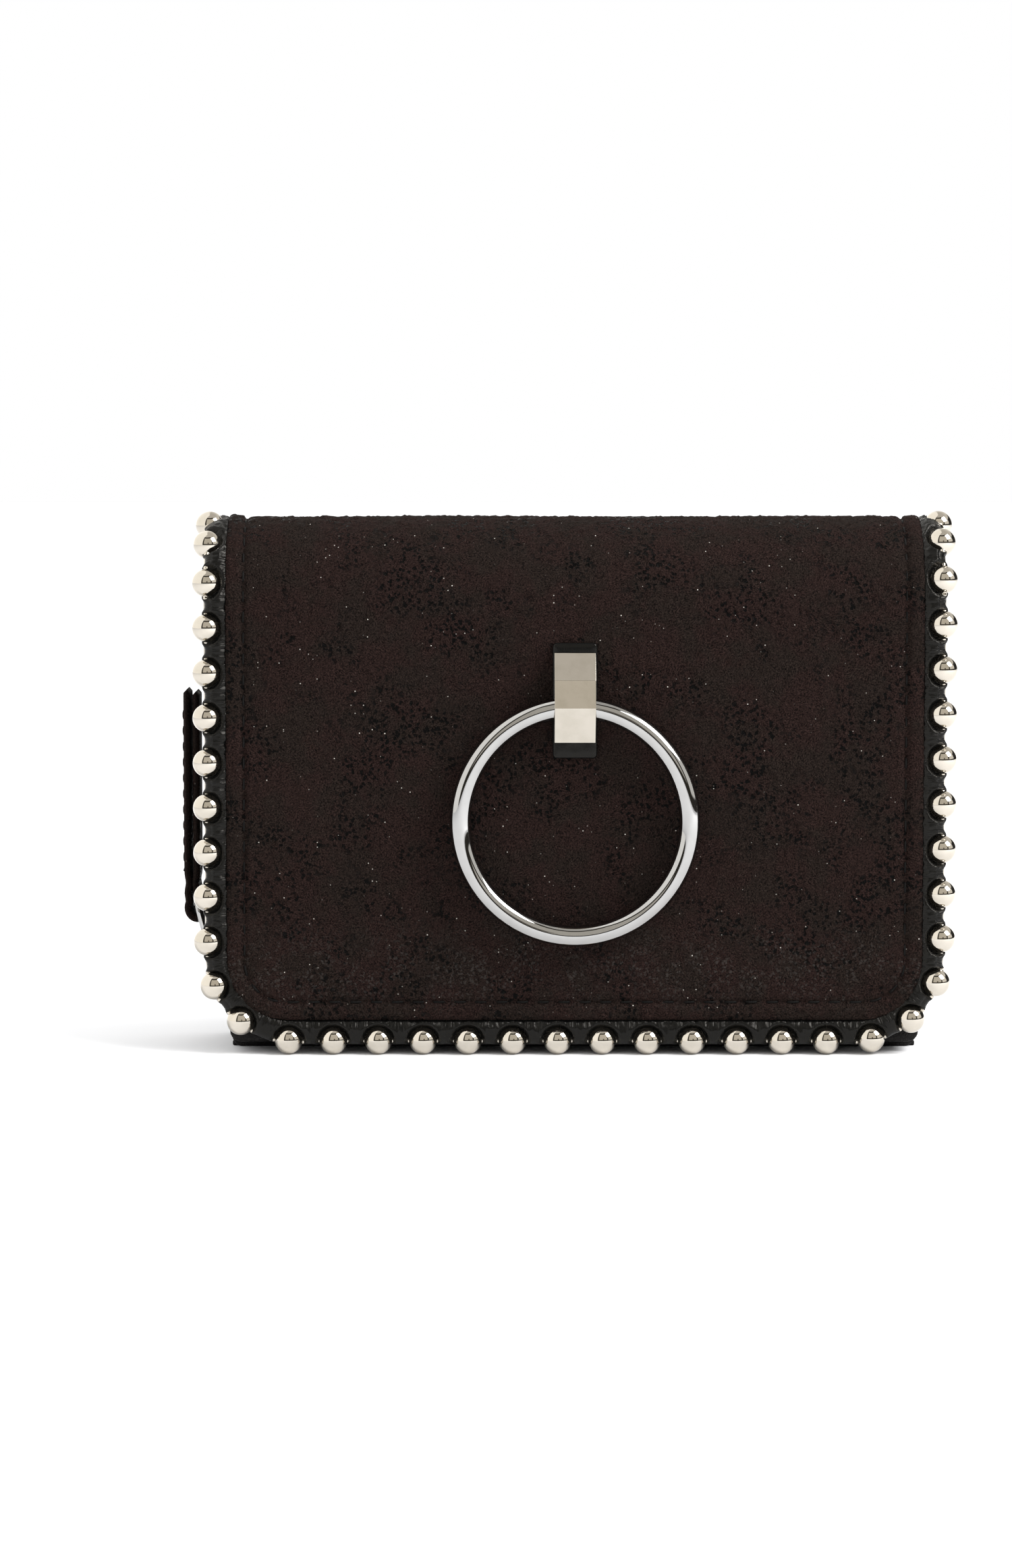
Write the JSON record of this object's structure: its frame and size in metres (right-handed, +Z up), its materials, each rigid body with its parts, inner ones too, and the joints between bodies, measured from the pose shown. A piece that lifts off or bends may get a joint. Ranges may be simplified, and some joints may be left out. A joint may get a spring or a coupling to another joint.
{
  "type": "wallet",
  "caption": "Small flap wallet in crackled suede: a ball-chain edge on the flap, a hanging ring under a metal bridge, card slots, a note pocket and a zip-around rear pocket.",
  "frame": {"origin": "on the base face, at the middle of the width and straight below the axis of the arch", "axes": "+X to the right across the width, -Y towards the flap's front, +Z up"},
  "size_m": [0.1158, 0.0308, 0.0807],
  "materials": {
    "suede": "brown-black faux suede with a crackled foil print and fine sparkles",
    "piping_leather": "glossy black leather, gathered between the balls",
    "lining": "matt black grained synthetic leather",
    "board": "leatherboard, hidden inside",
    "nickel": "polished warm nickel",
    "chrome": "polished bright plating",
    "plain_steel": "zinc-plated steel, hidden inside",
    "zip_metal": "nickel-plated zip metal",
    "zip_tape": "black woven twill tape"
  },
  "bodies": {
    "wallet_body": {"back_cover": "suede", "back_stiffener": "board", "back_lining": "lining", "side_band_left": "suede", "side_band_right": "suede", "bottom_panel": "suede", "mid_panel": "suede", "zip_tape_front": "zip_tape", "zip_tape_rear": "zip_tape", "zip_teeth": "zip_metal", "zip_stops": "zip_metal", "gusset_left": "lining", "gusset_right": "lining", "pocket_floor": "lining", "card_backing": "lining", "card_slot_rear": "lining", "card_slot_middle": "lining", "card_slot_front": "lining", "slot_border_rear": "lining", "slot_border_middle": "lining", "slot_border_front": "lining", "body_magnet": "plain_steel"},
    "spine": {"spine_cover": "suede", "spine_stiffener": "board", "spine_lining": "lining", "spine_piping": "piping_leather", "spine_beads": "nickel"},
    "flap": {"flap_cover": "suede", "flap_stiffener": "board", "flap_lining": "lining", "flap_piping": "piping_leather", "flap_beads": "nickel", "flap_links": "nickel", "flap_magnet": "plain_steel", "bridge_strip": "piping_leather", "bridge": "nickel", "bridge_washer": "plain_steel"},
    "ring": {"ring": "chrome"},
    "zip_slider": {"zip_slider": "zip_metal"},
    "puller": {"puller_loop": "zip_metal", "puller_strap": "suede"}
  },
  "joints": [
    {"name": "spine_fold", "type": "hinge", "parent": "wallet_body", "child": "spine", "pos_m": [0, 0.0081, 0.07685], "axis": [-1, 0, 0], "range_deg": [0, 85]},
    {"name": "flap_fold", "type": "hinge", "parent": "spine", "child": "flap", "pos_m": [0, -0.00639, 0.07806], "axis": [-1, 0, 0], "range_deg": [0, 85]},
    {"name": "ring_swing", "type": "hinge", "parent": "flap", "child": "ring", "pos_m": [0, -0.0154, 0.0521], "axis": [-1, 0, 0], "range_deg": [0, 175]},
    {"name": "zip_slide", "type": "slide", "parent": "wallet_body", "child": "zip_slider", "axis": [0, 0, 1], "range_m": [0, 0.029]},
    {"name": "puller_flip", "type": "hinge", "parent": "zip_slider", "child": "puller", "pos_m": [-0.0546, 0.0059, 0.0125], "axis": [0, -1, 0], "range_deg": [0, 100]}
  ],
  "couplings": [
    {"joint": "spine_fold", "follows": "flap_fold", "ratio": 1}
  ]
}
